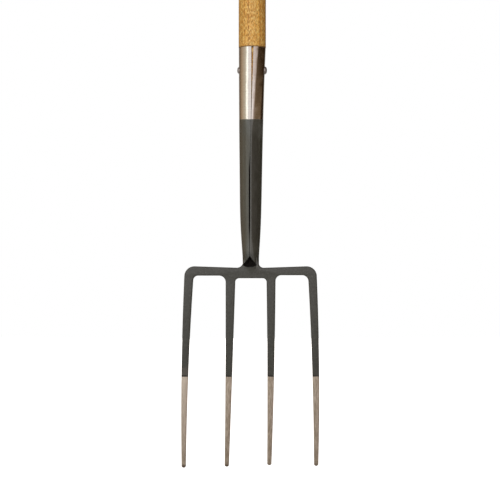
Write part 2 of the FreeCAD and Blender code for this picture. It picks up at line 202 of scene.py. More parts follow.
def head_finish():
    """Dip paint over forged steel, bare at the socket's mouth and the tine ends, black inside with forge
    scale and painted shade.
    """
    material, tree, shader = new_material("forged_steel_finish")
    shader.inputs["Specular IOR Level"].default_value = 0.9
    shader.inputs["Coat Roughness"].default_value = 0.27
    place = tree.nodes.new("ShaderNodeTexCoord").outputs["Object"]
    across, back, height = add_node(tree, "ShaderNodeSeparateXYZ", place).outputs

    # The dip lines waver a little round the socket and from tine to tine.
    waver = maths(tree, "SUBTRACT", noise(tree, place, 70.0, 1.0), 0.5)
    line_height = maths(tree, "MULTIPLY_ADD", waver, DIP_WAVER, height)
    below_top = ramp(tree, line_height, PAINT_TOP_Z + PAINT_TOP_BLUR, PAINT_TOP_Z - PAINT_TOP_BLUR)
    above_bottom = ramp(tree, line_height, PAINT_BOTTOM_Z - PAINT_BOTTOM_BLUR,
                        PAINT_BOTTOM_Z + PAINT_BOTTOM_BLUR)
    painted = maths(tree, "MULTIPLY", below_top, above_bottom)
    on_socket = ramp(tree, height, SOCKET_FOOT_Z, SOCKET_CLEAR_Z)

    # Paint: dark green-grey, cloudy, mottled finely where the spray dried, with a few dust nibs.
    cloud = noise(tree, place, 22.0, 3.0)
    mottle = noise(tree, place, 330.0, 2.0, 0.7)
    nibs = ramp(tree, noise(tree, place, 520.0, 1.0), 0.66, 0.76)
    paint = mix_colour(tree, cloud, (0.015, 0.018, 0.014), (0.026, 0.030, 0.024))
    paint = mix_colour(tree, ramp(tree, mottle, 0.35, 0.65), paint, (0.036, 0.040, 0.032))
    # Painted highlight: the paint on the socket is mixed lighter than on the crossbar and tines.
    paint = mix_colour(tree, maths(tree, "MULTIPLY", on_socket, 0.5), paint, (0.060, 0.066, 0.054))
    paint = mix_colour(tree, nibs, paint, (0.08, 0.082, 0.070))
    # The outer left tine's paint is made lighter just above its lower edge.
    pale_patch = maths(tree, "MULTIPLY", ramp(tree, across, LEFT_TINE_EDGE_X + 10 * MM, LEFT_TINE_EDGE_X),
                    ramp(tree, height, PAINT_BOTTOM_Z + PALE_PATCH_START, PAINT_BOTTOM_Z + PALE_PATCH_FULL, 0.0, 0.8))
    paint = mix_colour(tree, pale_patch, paint, (0.080, 0.076, 0.066))
    # Painted shadow: a near-black line along the paint's lower edge stands in for the thick bead's shadow.
    bead_and_shadow = ramp(tree, line_height, PAINT_BOTTOM_Z + BEAD_SHADOW_START, PAINT_BOTTOM_Z + BEAD_SHADOW_FULL)
    paint = mix_colour(tree, bead_and_shadow, paint, (0.006, 0.006, 0.005))

    # Socket mouth: linished round and round, so the scratches are level rings.
    rings = noise(tree, stretched(tree, place, 18.0, 18.0, 1500.0), 1.0, 3.0, 0.65)
    bright = mix_colour(tree, ramp(tree, rings, 0.3, 0.7), (0.71, 0.67, 0.62), (0.79, 0.75, 0.70))

    # Tine ends: ground lengthwise, warm grey, brightest by the paint, with patchy tarnish and painted
    # shade darkening them downward, and painted dark-brown shade right at the points.
    # The outer left one gets a painted highlight, strongest by the paint.
    grind = noise(tree, stretched(tree, place, 620.0, 620.0, 22.0), 1.0, 3.0, 0.7)
    patches = noise(tree, place, 60.0, 3.0, 0.6)
    # Painted shade: darker towards the points, mixed with patchy tarnish.
    tarnish_and_shade = maths(tree, "MULTIPLY", ramp(tree, height, TARNISH_AND_SHADE_FULL_Z, PAINT_BOTTOM_Z, 0.5, 0.0, "LINEAR"),
                    ramp(tree, patches, 0.25, 0.6, 0.3, 1.0))
    ground = mix_colour(tree, ramp(tree, grind, 0.3, 0.7), (0.54, 0.46, 0.37), (0.90, 0.82, 0.72))
    ground = mix_colour(tree, tarnish_and_shade, ground, (0.40, 0.33, 0.26))
    # Painted highlight on the outer left tine's bare steel.
    on_outer_left = ramp(tree, across, LEFT_TINE_EDGE_X + 20 * MM, LEFT_TINE_EDGE_X + 5 * MM)
    left_tine_highlight = maths(tree, "MULTIPLY", on_outer_left,
                  ramp(tree, height, 0.0, PAINT_BOTTOM_Z, 0.15, 0.85, "LINEAR"))
    ground = mix_colour(tree, left_tine_highlight, ground, (0.97, 0.89, 0.79))
    # Painted shade: dark brown right at the points.
    point_shade = ramp(tree, height, POINT_SHADE_START_Z, POINT_SHADE_FULL_Z, 0.0, 0.8)
    ground = mix_colour(tree, point_shade, ground, (0.20, 0.155, 0.12))

    bare = mix_colour(tree, on_socket, ground, bright)
    colour = mix_colour(tree, painted, bare, paint)
    bare_rough = ramp(tree, rings, 0.3, 0.7, 0.15, 0.19)
    ground_rough = ramp(tree, grind, 0.3, 0.7, 0.40, 0.52)
    metal_rough = mix_value(tree, on_socket, ground_rough, bare_rough)
    paint_rough = ramp(tree, cloud, 0.3, 0.7, 0.33, 0.42)
    roughness = mix_value(tree, painted, metal_rough, paint_rough)
    metallic = maths(tree, "SUBTRACT", 1.0, painted)
    # Black forge scale in the bore, with painted shade making the bore, the arch and the lips of the slit
    # near black.
    cavity = tree.nodes.new("ShaderNodeAttribute")
    cavity.attribute_name = "cavity"
    from_arch = maths(tree, "ABSOLUTE", maths(tree, "SUBTRACT", across, ARCH_X))
    arch_reach = ramp(tree, height, ARCH_FOOT_Z, ARCH_APEX_Z, ARCH_HALF_WIDTH, 0.0, "LINEAR")
    in_arch = maths(tree, "LESS_THAN", from_arch, arch_reach)
    for nearer, further in ((ARCH_LIP_Y, back), (back, ARCH_BACK_Y),
                            (ARCH_FOOT_Z - ARCH_FLOOR_DROP, height)):
        in_arch = maths(tree, "MULTIPLY", in_arch, maths(tree, "LESS_THAN", nearer, further))
    # Painted shade: the outer lips beside the slit are blackened so the slit reads as a dark gap.
    from_slit = maths(tree, "ABSOLUTE", maths(tree, "SUBTRACT", across, SLIT_X))
    by_slit = maths(tree, "MULTIPLY", ramp(tree, from_slit, SLIT_HALF_WIDTH * SLIT_BLUR, SLIT_HALF_WIDTH),
                    maths(tree, "LESS_THAN", back, 0.0))
    for shut_z, open_z in ((SLIT_FOOT_Z, SLIT_FOOT_Z + SLIT_FOOT_FADE),
                           (SLIT_TOP_Z, SLIT_TOP_Z - SLIT_TOP_FADE)):
        by_slit = maths(tree, "MULTIPLY", by_slit, ramp(tree, height, shut_z, open_z))
    inside = maths(tree, "MAXIMUM", ramp(tree, cavity.outputs["Fac"], 0.1, 0.5),
                   maths(tree, "MAXIMUM", in_arch, by_slit))
    # Near-black colour: forge scale in the bore, and painted shade there, in the arch and on the slit's
    # lips.
    scale = mix_colour(tree, mottle, (0.004, 0.0035, 0.003), (0.014, 0.011, 0.009))
    colour = mix_colour(tree, inside, colour, scale)
    roughness = mix_value(tree, inside, roughness, 0.95)
    metallic = mix_value(tree, inside, metallic, 0.0)
    coat = mix_value(tree, bead_and_shadow, mix_value(tree, on_socket, 0.4, 1.0), 0.1)
    gloss = maths(tree, "MULTIPLY", painted, coat)
    plug(tree, mix_value(tree, inside, gloss, 0.0), shader.inputs["Coat Weight"])

    # Relief: hammered forging under the paint, orange peel, scratches, and the paint film's edge.
    hammered = maths(tree, "MULTIPLY", noise(tree, place, 95.0, 1.0), HAMMER_DEPTH)
    peel = maths(tree, "MULTIPLY", mottle, PEEL_DEPTH)
    scratch = mix_value(tree, on_socket, maths(tree, "MULTIPLY", grind, GRIND_DEPTH),
                        maths(tree, "MULTIPLY", rings, LINISH_DEPTH))
    film = maths(tree, "MULTIPLY", painted, PAINT_FILM)
    left_by_linishing = mix_value(tree, painted, 0.12, 1.0)
    relief = maths(tree, "MULTIPLY_ADD", hammered, left_by_linishing, film)
    relief = maths(tree, "ADD", relief, mix_value(tree, painted, scratch, peel))

    # Under the paint the ridge along the seam is sharper. It dies out upward and round the back.
    from_ridge = maths(tree, "SUBTRACT", across, RIDGE_X)
    from_crest = maths(tree, "MINIMUM", maths(tree, "ABSOLUTE", from_ridge), RIDGE_REACH)
    slope = ramp(tree, from_ridge, -0.1 * MM, 0.1 * MM, -RIDGE_LEFT, -RIDGE_RIGHT)
    fall = maths(tree, "MULTIPLY", from_crest, slope)
    shown = ramp(tree, back, RIDGE_WRAP, -RIDGE_WRAP)
    for flat_z, full_z in ((PAINT_TOP_Z, PAINT_TOP_Z - RIDGE_FADE), (RIDGE_FOOT_Z, RIDGE_FULL_Z)):
        shown = maths(tree, "MULTIPLY", shown, ramp(tree, height, flat_z, full_z))
    relief = maths(tree, "MULTIPLY_ADD", fall, shown, relief)
    finish_surface(tree, shader, colour, roughness, metallic, relief)
    return material


head = merged_copy("fork_head", "forged_head", sharp_degrees=32)
mark_cavity(head.data)
fit_piece(head, head_finish(), "fork_head")


# ---------------------------------------------------------------------------------------------
# The shaft: one straight length of ash, varnished. Its foot is shaved to a plug that is driven into
# the socket; its top is sawn down the middle, and the two halves are steamed and bent out to a Y.
# The grain runs up the shaft and follows each arm round its bends.
# ---------------------------------------------------------------------------------------------
SHAFT_X = 2.4 * MM
SPLIT_Z = 905.0 * MM
BEND_RADIUS = 70.0 * MM
BEND_ANGLE = math.radians(35)
ARM_SPREAD = 44.0 * MM
PITH = (-9.0 * MM, 52.0 * MM)
YEAR_RING, RING_SWAY = 2.3 * MM, 7.0 * MM
MOUTH_Z, INSIDE_SHADE_FADE = 590.8 * MM, 85.0 * MM
# Painted shadow at the mouth: how far above and below it, and how softly it ends.
MOUTH_SHADOW_ABOVE, MOUTH_SHADOW_BELOW, MOUTH_SHADOW_FADE = 2.4 * MM, 2.5 * MM, 2.0 * MM


def straightened(x, y, z):
    """Where a point of the bent shaft was in the straight rod it was made from."""
    x -= SHAFT_X
    if z <= SPLIT_Z:
        return x, y, z
    side = 1 if x > 0 else -1
    out, rise = abs(x), z - SPLIT_Z
    arc_out, arc_rise = BEND_RADIUS * (1 - math.cos(BEND_ANGLE)), BEND_RADIUS * math.sin(BEND_ANGLE)
    slope_length = (ARM_SPREAD - 2 * arc_out) / math.sin(BEND_ANGLE)
    top_rise = 2 * arc_rise + slope_length * math.cos(BEND_ANGLE)
    arc_length = BEND_RADIUS * BEND_ANGLE
    turned = math.atan2(rise, BEND_RADIUS - out)
    if turned <= BEND_ANGLE:
        across = BEND_RADIUS - math.hypot(rise, BEND_RADIUS - out)
        return side * across, y, SPLIT_Z + BEND_RADIUS * turned
    from_x, from_z = out - arc_out, rise - arc_rise
    along = from_x * math.sin(BEND_ANGLE) + from_z * math.cos(BEND_ANGLE)
    if along <= slope_length:
        across = from_x * math.cos(BEND_ANGLE) - from_z * math.sin(BEND_ANGLE)
        return side * across, y, SPLIT_Z + arc_length + along
    if rise < top_rise:
        centre_out, below = out - (ARM_SPREAD - BEND_RADIUS), top_rise - rise
        turned = BEND_ANGLE - math.atan2(below, centre_out)
        across = math.hypot(below, centre_out) - BEND_RADIUS
        return side * across, y, SPLIT_Z + arc_length + slope_length + BEND_RADIUS * turned
    return side * (out - ARM_SPREAD), y, SPLIT_Z + 2 * arc_length + slope_length + rise - top_rise


def lay_grain(mesh, in_the_log):
    """Store where each point of the wood was in the log, with the log's length along z."""
    grain = mesh.attributes.new("grain", "FLOAT_VECTOR", "POINT")
    for vertex, mark in zip(mesh.vertices, grain.data):
        mark.vector = in_the_log(*vertex.co)


def ash_finish(name, pith, late, early, fleck, varnish, shade_below_z=None):
    """Ash: growth rings round the pith, open pores along the early wood, and clear varnish on top.

    With the last argument, the wood inside the socket is painted near black as shade, fully below
    that height, and a thin painted shadow darkens it where it goes into the mouth.
    """
    material, tree, shader = new_material(name)
    shader.inputs["Coat Roughness"].default_value = 0.14
    grain = tree.nodes.new("ShaderNodeAttribute")
    grain.attribute_name = "grain"
    log = grain.outputs["Vector"]

    # Growth rings, wavering up the log, no two years alike.
    sway = noise(tree, stretched(tree, log, 20.0, 20.0, 3.2), 1.0, 2.0)
    sway = maths(tree, "MULTIPLY", sway, RING_SWAY)
    from_pith = stretched(tree, log, 1, 1, 1, (-pith[0], -pith[1], 0))
    out_x, out_y, _ = add_node(tree, "ShaderNodeSeparateXYZ", from_pith).outputs
    out = maths(tree, "ADD", maths(tree, "POWER", out_x, 2.0), maths(tree, "POWER", out_y, 2.0))
    out = maths(tree, "SQRT", out)
    years = maths(tree, "DIVIDE", maths(tree, "ADD", out, sway), YEAR_RING)
    season = maths(tree, "FRACT", years)
    year = add_node(tree, "ShaderNodeTexWhiteNoise", maths(tree, "FLOOR", years), noise_dimensions="1D")
    spring = maths(tree, "MULTIPLY", ramp(tree, season, 0.0, 0.10), ramp(tree, season, 0.45, 0.25))

    # Open vessels are fine dark lines. They crowd together in the early wood and in small clusters
    # up and down it, with pale flecks left between, over fine fibres and broader streaks.
    cluster = noise(tree, stretched(tree, log, 1000.0, 1000.0, 260.0), 1.0, 1.0)
    vessel = noise(tree, stretched(tree, log, 3000.0, 3000.0, 260.0), 1.0, 1.0, 0.5)
    crowded = maths(tree, "MULTIPLY_ADD", spring, 0.07, cluster)
    pores = ramp(tree, maths(tree, "MULTIPLY_ADD", vessel, 0.35, crowded), 0.69, 0.82)
    pale = noise(tree, stretched(tree, log, 900.0, 900.0, 260.0, (0.3, 0.1, 0.7)), 1.0, 1.0)
    hair = noise(tree, stretched(tree, log, 3200.0, 3200.0, 50.0), 1.0, 2.0, 0.6)
    fibre = noise(tree, stretched(tree, log, 900.0, 900.0, 12.0), 1.0, 2.0, 0.6)
    streak = noise(tree, stretched(tree, log, 190.0, 190.0, 2.5), 1.0, 2.0)
    pale_fleck = maths(tree, "MULTIPLY_ADD", hair, 0.3, pale)

    wood = mix_colour(tree, ramp(tree, season, 0.3, 1.0), late, tuple(value * 0.84 for value in late))
    wood = mix_colour(tree, maths(tree, "MULTIPLY", spring, 0.9), wood, early)
    wood = mix_colour(tree, ramp(tree, year.outputs["Value"], 0.0, 1.0, 0.0, 0.30), wood, early)
    wood = mix_colour(tree, ramp(tree, streak, 0.45, 0.75, 0.0, 0.5), wood, fleck)
    wood = mix_colour(tree, ramp(tree, fibre, 0.45, 0.66, 0.0, 0.80), wood, early)
    wood = mix_colour(tree, ramp(tree, pale_fleck, 0.62, 0.80, 0.0, 0.9), wood, (1.0, 0.74, 0.25))
    wood = mix_colour(tree, ramp(tree, hair, 0.45, 0.70, 0.0, 0.30), wood, fleck)
    wood = mix_colour(tree, maths(tree, "MULTIPLY", pores, 0.8), wood, fleck)
    if shade_below_z:
        height = add_node(tree, "ShaderNodeSeparateXYZ", log).outputs[2]
        # Painted shade: the wood inside the socket goes near black.
        inside_shade = ramp(tree, height, shade_below_z + INSIDE_SHADE_FADE, shade_below_z)
        wood = mix_colour(tree, inside_shade, wood, (0.012, 0.010, 0.008))
        # Painted shadow: a thin dark ring where the wood meets the socket's mouth.
        from_above = ramp(tree, height, MOUTH_Z + MOUTH_SHADOW_ABOVE, MOUTH_Z + MOUTH_SHADOW_ABOVE - MOUTH_SHADOW_FADE, 0.0, 0.8)
        from_below = ramp(tree, height, MOUTH_Z - MOUTH_SHADOW_BELOW, MOUTH_Z - MOUTH_SHADOW_BELOW + MOUTH_SHADOW_FADE)
        mouth_shadow = maths(tree, "MULTIPLY", from_above, from_below)
        wood = mix_colour(tree, mouth_shadow, wood, (0.10, 0.050, 0.018))

    roughness = mix_value(tree, pores, 0.42, 0.62)
    plug(tree, mix_value(tree, pores, varnish, varnish * 0.4), shader.inputs["Coat Weight"])
    relief = maths(tree, "MULTIPLY_ADD", pores, -0.05 * MM, maths(tree, "MULTIPLY", fibre, 0.03 * MM))
    finish_surface(tree, shader, wood, roughness, 0.0, relief)
    return material


shaft = merged_copy("shaft", "ash_shaft", sharp_degrees=34)
lay_grain(shaft.data, straightened)
shaft_finish = ash_finish("ash_varnished", PITH, (1.0, 0.57, 0.120), (0.60, 0.26, 0.038),
                          (0.36, 0.145, 0.020), 0.22, PAINT_TOP_Z)
fit_piece(shaft, shaft_finish, "shaft")


# ---------------------------------------------------------------------------------------------
# The socket rivet: a plain steel rivet through socket and shaft. Its factory head is on the right;
# the left end is peened over by hand and is smaller and duller.
# ---------------------------------------------------------------------------------------------
SOCKET_RIVET_Z = 559.6 * MM
SOCKET_RIVET_X, SOCKET_RIVET_HALF = 1.8 * MM, 18.2 * MM
RIVET_RADIUS = 3.0 * MM
SEAM_WELD = 0.01 * MM
DOME_SKIRT_SHARE, DOME_FULLNESS, DENT_SCALE = 0.2, 0.85, 260.0


class Tree:
    """A geometry tree with named inputs, and short calls for the nodes that the fittings use."""

    def __init__(self, name, **inputs):
        self.group = bpy.data.node_groups.new(name, "GeometryNodeTree")
        for label, value in inputs.items():
            kind = "NodeSocketMaterial" if value is None else "NodeSocketFloat"
            socket = self.group.interface.new_socket(name=label, in_out="INPUT", socket_type=kind)
            if value is not None:
                socket.default_value = value
        out = {"in_out": "OUTPUT", "socket_type": "NodeSocketGeometry"}
        self.group.interface.new_socket(name="Geometry", **out)
        self.inputs = self.group.nodes.new("NodeGroupInput").outputs

    def add(self, kind, *values, **settings):
        return add_node(self.group, kind, *values, **settings)

    def maths(self, operation, *values):
        return maths(self.group, operation, *values)

    def sheet(self, around, along):
        """A flat sheet of points, with how far round and how far along each one is, from 0 to 1."""
        grid = self.add("GeometryNodeMeshGrid", 1.0, 1.0, around, along).outputs["Mesh"]
        place = self.group.nodes.new("GeometryNodeInputPosition").outputs[0]
        flat = self.add("ShaderNodeSeparateXYZ", place).outputs
        return grid, self.maths("ADD", flat[0], 0.5), self.maths("ADD", flat[1], 0.5)

    def turned(self, sheet, around, x, radius):
        """Roll a sheet into a solid turned about the x axis, and close its seam and its ends."""
        angle = self.maths("MULTIPLY", around, 2 * math.pi)
        y = self.maths("MULTIPLY", radius, self.maths("COSINE", angle))
        z = self.maths("MULTIPLY", radius, self.maths("SINE", angle))
        place = self.add("ShaderNodeCombineXYZ", x, y, z).outputs[0]
        rolled = self.add("GeometryNodeSetPosition")
        plug(self.group, sheet, rolled.inputs["Geometry"])
        plug(self.group, place, rolled.inputs["Position"])
        closed = self.add("GeometryNodeMergeByDistance")
        plug(self.group, rolled.outputs[0], closed.inputs["Geometry"])
        plug(self.group, SEAM_WELD, closed.inputs["Distance"])
        return closed.outputs[0]

    def dented(self, solid, scale, depth):
        """Push the surface in and out along its normals, as a hammer leaves it."""
        place = self.group.nodes.new("GeometryNodeInputPosition").outputs[0]
        normal = self.group.nodes.new("GeometryNodeInputNormal").outputs[0]
        swell = self.maths("SUBTRACT", noise(self.group, place, scale, 1.0), 0.5)
        push = self.maths("MULTIPLY", swell, depth)
        offset = self.add("ShaderNodeVectorMath", normal, operation="SCALE")
        plug(self.group, push, offset.inputs["Scale"])
        dented = self.add("GeometryNodeSetPosition")
        plug(self.group, solid, dented.inputs["Geometry"])
        plug(self.group, offset.outputs[0], dented.inputs["Offset"])
        return dented.outputs[0]

    def moved(self, solid, x, y, z, half_turn=False):
        move = self.add("GeometryNodeTransform")
        place = self.add("ShaderNodeCombineXYZ", x, y, z).outputs[0]
        plug(self.group, solid, move.inputs["Geometry"])
        plug(self.group, place, move.inputs["Translation"])
        move.inputs["Rotation"].default_value = (0, 0, math.pi if half_turn else 0)
        return move.outputs[0]

    def close(self, *solids):
        """End the tree: everything joined, real, smooth and in its finish."""
        join = self.group.nodes.new("GeometryNodeJoinGeometry")
        for solid in solids:
            self.group.links.new(solid, join.inputs[0])
        real = self.add("GeometryNodeRealizeInstances", join.outputs[0])
        smooth = self.add("GeometryNodeSetShadeSmooth", real.outputs[0])
        coated = self.add("GeometryNodeSetMaterial", smooth.outputs[0])
        plug(self.group, self.inputs["Finish"], coated.inputs["Material"])
        self.group.links.new(coated.outputs[0], self.group.nodes.new("NodeGroupOutput").inputs[0])
        return self.group


def made_by(group, name, **sizes):
    """Run a geometry tree with these sizes and keep what it makes as a plain mesh piece."""
    blank = bpy.data.objects.new(name + "_blank", bpy.data.meshes.new(name + "_blank"))
    scene.collection.objects.link(blank)
    modifier = blank.modifiers.new("make", "NODES")
    modifier.node_group = group
    for item in group.interface.items_tree:
        if item.in_out == "INPUT" and item.name in sizes:
            modifier[item.identifier] = sizes[item.name]
    bpy.context.view_layer.update()
    ready = blank.evaluated_get(bpy.context.evaluated_depsgraph_get())
    mesh = bpy.data.meshes.new_from_object(ready)
    mesh.name = name
    bpy.data.objects.remove(blank)
    work = bmesh.new()
    work.from_mesh(mesh)
    bmesh.ops.recalc_face_normals(work, faces=work.faces)
    work.to_mesh(mesh)
    work.free()
    mesh.shade_smooth()
    mesh.set_sharp_from_angle(angle=math.radians(40))
    piece = bpy.data.objects.new(name, mesh)
    scene.collection.objects.link(piece)
    return piece


def rivet_tree():
    """A round shank with a domed head at each end, on the x axis about CentreX, at height Z."""
    tree = Tree("rivet", CentreX=0.0, Z=0.0, HalfLength=20.0 * MM, Shank=RIVET_RADIUS,
                LeftRadius=5.0 * MM, LeftHeight=2.0 * MM, RightRadius=5.0 * MM, RightHeight=2.0 * MM,
                Skirt=1.0 * MM, Dents=0.2 * MM, Finish=None)
    given = tree.inputs
    sheet, around, along = tree.sheet(around=40, along=16)
    solids = []
    for side in ("Left", "Right"):
        # A straight skirt for the first part of the way, then a low dome up to the pole.
        rise = ramp(tree.group, along, DOME_SKIRT_SHARE, 1.0, 0.0, 1.0, "LINEAR")
        rise = tree.maths("MULTIPLY", rise, math.pi / 2)
        reach = tree.maths("MAXIMUM", tree.maths("COSINE", rise), 0.0)
        radius = tree.maths("MULTIPLY", given[side + "Radius"], tree.maths("POWER", reach, DOME_FULLNESS))
        skirt = ramp(tree.group, along, 0.0, DOME_SKIRT_SHARE, -1.0, 0.0, "LINEAR")
        skirt = tree.maths("MULTIPLY", skirt, given["Skirt"])
        x = tree.maths("MULTIPLY_ADD", tree.maths("SINE", rise), given[side + "Height"], skirt)
        dome = tree.dented(tree.turned(sheet, around, x, radius), DENT_SCALE, given["Dents"])
        shift = given["HalfLength"]
        if side == "Left":
            shift = tree.maths("MULTIPLY", shift, -1.0)
        shift = tree.maths("ADD", shift, given["CentreX"])
        solids.append(tree.moved(dome, shift, 0.0, given["Z"], side == "Left"))
    shank_sheet, shank_around, shank_along = tree.sheet(around=24, along=2)
    shank_x = tree.maths("MULTIPLY_ADD", shank_along, 2.0, -1.0)
    shank_x = tree.maths("MULTIPLY", shank_x, given["HalfLength"])
    shank = tree.turned(shank_sheet, shank_around, shank_x, given["Shank"])
    solids.append(tree.moved(shank, given["CentreX"], 0.0, given["Z"]))
    return tree.close(*solids)


def fitting_finish(name, dark, light, roughness):
    """Bare steel fittings: hammered, with dark oxide in the hollows and fine scratches."""
    material, tree, shader = new_material(name)
    place = tree.nodes.new("ShaderNodeTexCoord").outputs["Object"]
    bloom = noise(tree, place, 240.0, 3.0, 0.6)
    speck = ramp(tree, noise(tree, place, 900.0, 2.0), 0.56, 0.68)
    scratch = noise(tree, stretched(tree, place, 2600.0, 500.0, 700.0, turn=(0.5, 0.2, 0.4)), 1.0, 2.0, 0.7)
    metal = mix_colour(tree, ramp(tree, bloom, 0.3, 0.7), dark, light)
    oxide = tuple(value * 0.4 for value in dark)
    metal = mix_colour(tree, maths(tree, "MULTIPLY", speck, 0.6), metal, oxide)
    rough = ramp(tree, maths(tree, "ADD", bloom, scratch), 0.7, 1.3, roughness - 0.08, roughness + 0.12)
    relief = maths(tree, "MULTIPLY_ADD", scratch, 0.015 * MM, maths(tree, "MULTIPLY", bloom, 0.05 * MM))
    finish_surface(tree, shader, metal, rough, 1.0, relief)
    return material


rivet_form = rivet_tree()
socket_rivet_steel = fitting_finish("socket_rivet_steel", (0.36, 0.33, 0.31), (0.62, 0.59, 0.60),
                                    0.34)
socket_rivet = made_by(rivet_form, "socket_rivet_peened", CentreX=SOCKET_RIVET_X, Z=SOCKET_RIVET_Z,
                       HalfLength=SOCKET_RIVET_HALF, LeftRadius=4.6 * MM, LeftHeight=2.2 * MM,
                       RightRadius=5.6 * MM, RightHeight=2.9 * MM, Skirt=1.6 * MM, Dents=0.5 * MM,
                       Finish=socket_rivet_steel)
fit_piece(socket_rivet, socket_rivet_steel, "socket_rivet")


# ---------------------------------------------------------------------------------------------
# The crotch wedge: a small ash filler glued between the arms just above the split, with its top
# dished out. Its edges are broken with a knife.
# ---------------------------------------------------------------------------------------------
WEDGE_EDGE = 0.5 * MM
# The wedge was sawn from another part of the log than the shaft.
WEDGE_IN_LOG = (31.0 * MM, 12.0 * MM, 240.0 * MM)


def with_broken_edges(piece, width):
    """Round a piece's sharp edges over and keep the result in its mesh."""
    edges = piece.modifiers.new("edges", "BEVEL")
    edges.width, edges.segments = width, 2
    edges.limit_method, edges.angle_limit = "ANGLE", math.radians(34)
    bpy.context.view_layer.update()
    ready = piece.evaluated_get(bpy.context.evaluated_depsgraph_get())
    eased = bpy.data.meshes.new_from_object(ready)
    piece.modifiers.clear()
    piece.data = eased
    eased.shade_smooth()
    eased.set_sharp_from_angle(angle=math.radians(50))


wedge = merged_copy("crotch_wedge", "ash_wedge", sharp_degrees=34)
with_broken_edges(wedge, WEDGE_EDGE)
lay_grain(wedge.data, lambda *place: [here + shift for here, shift in zip(place, WEDGE_IN_LOG)])
wedge_finish = ash_finish("ash_wedge_varnished", PITH, (0.74, 0.43, 0.13), (0.46, 0.22, 0.05),
                          (0.22, 0.095, 0.02), 0.3)
fit_piece(wedge, wedge_finish, "crotch_wedge")


# ---------------------------------------------------------------------------------------------
# The crotch rivet and its washers: a steel rod across the shaft just under the split, riveted over
# a plated washer at each end so that the split can't run.
# ---------------------------------------------------------------------------------------------
CROTCH_RIVET_Z = 893.0 * MM
SHAFT_TOP_RADIUS = 18.0 * MM
SPOT_FACE_DEPTH = 2.2 * MM
WASHER_RADIUS, WASHER_BORE, WASHER_THICKNESS = 8.0 * MM, 3.1 * MM, 1.5 * MM
HEAD_RADIUS, HEAD_HEIGHT, HEAD_RIM, HEAD_DENTS = 5.0 * MM, 2.0 * MM, 0.6 * MM, 0.35 * MM


def washer_tree():
    """A stamped washer on the x axis: rolled edges, and slightly dished. Inner is its inside face."""
    tree = Tree("washer", Inner=0.0, CentreX=0.0, Z=0.0, Outside=WASHER_RADIUS, Bore=WASHER_BORE,
                Thickness=WASHER_THICKNESS, Squareness=0.3, Finish=None)
    given = tree.inputs
    sheet, around, along = tree.sheet(around=49, along=29)
    angle = tree.maths("MULTIPLY", along, 2 * math.pi)
    half_width = tree.maths("MULTIPLY", tree.maths("SUBTRACT", given["Outside"], given["Bore"]), 0.5)
    half_thick = tree.maths("MULTIPLY", given["Thickness"], 0.5)
    corners = []
    for turn in ("COSINE", "SINE"):
        reach = tree.maths(turn, angle)
        squared = tree.maths("POWER", tree.maths("ABSOLUTE", reach), given["Squareness"])
        corners.append(tree.maths("MULTIPLY", squared, tree.maths("SIGN", reach)))
    middle = tree.maths("ADD", given["Bore"], half_width)
    radius = tree.maths("MULTIPLY_ADD", corners[0], half_width, middle)
    x = tree.maths("MULTIPLY_ADD", corners[1], half_thick, half_thick)
    ring = tree.turned(sheet, around, x, radius)
    placed = tree.moved(ring, tree.maths("ADD", given["Inner"], given["CentreX"]), 0.0, given["Z"])
    return tree.close(placed)


def washer_finish():
    """Bright zinc plating: small crystals, and a dull handled bloom."""
    material, tree, shader = new_material("washer_zinc")
    place = tree.nodes.new("ShaderNodeTexCoord").outputs["Object"]
    crystals = add_node(tree, "ShaderNodeTexVoronoi")
    plug(tree, place, crystals.inputs["Vector"])
    crystals.inputs["Scale"].default_value = 520.0
    shade = add_node(tree, "ShaderNodeSeparateXYZ", crystals.outputs["Color"]).outputs[0]
    bloom = noise(tree, place, 300.0, 3.0, 0.6)
    zinc = mix_colour(tree, shade, (0.52, 0.54, 0.55), (0.66, 0.67, 0.68))
    zinc = mix_colour(tree, ramp(tree, bloom, 0.5, 0.75, 0.0, 0.7), zinc, (0.30, 0.29, 0.27))
    rough = maths(tree, "MULTIPLY_ADD", shade, 0.10, ramp(tree, bloom, 0.3, 0.8, 0.26, 0.48))
    relief = maths(tree, "MULTIPLY_ADD", bloom, 0.04 * MM, maths(tree, "MULTIPLY", shade, 0.01 * MM))
    finish_surface(tree, shader, zinc, rough, 1.0, relief)
    return material


washer_form = washer_tree()
washer_zinc = washer_finish()
handle_rivet_steel = fitting_finish("handle_rivet_steel", (0.40, 0.38, 0.36), (0.60, 0.58, 0.56), 0.32)


def cross_fastening(place, half_span, z):
    """Rod and two washers across the wood at height z, where it is 2 * half_span wide."""
    seat = half_span - SPOT_FACE_DEPTH
    rod = made_by(rivet_form, place + "_rod", CentreX=SHAFT_X, Z=z,
                  HalfLength=seat + WASHER_THICKNESS + HEAD_RIM, LeftRadius=HEAD_RADIUS,
                  LeftHeight=HEAD_HEIGHT, RightRadius=HEAD_RADIUS, RightHeight=HEAD_HEIGHT,
                  Skirt=HEAD_RIM, Dents=HEAD_DENTS, Finish=handle_rivet_steel)
    fit_piece(rod, handle_rivet_steel, place + "_rivet")
    for hand, inner in (("left", -seat - WASHER_THICKNESS), ("right", seat)):
        washer = made_by(washer_form, f"{place}_washer_zinc_{hand}", Inner=inner, CentreX=SHAFT_X, Z=z,
                         Finish=washer_zinc)
        fit_piece(washer, washer_zinc, f"{place}_washer_{hand}")


cross_fastening("crotch", SHAFT_TOP_RADIUS, CROTCH_RIVET_Z)


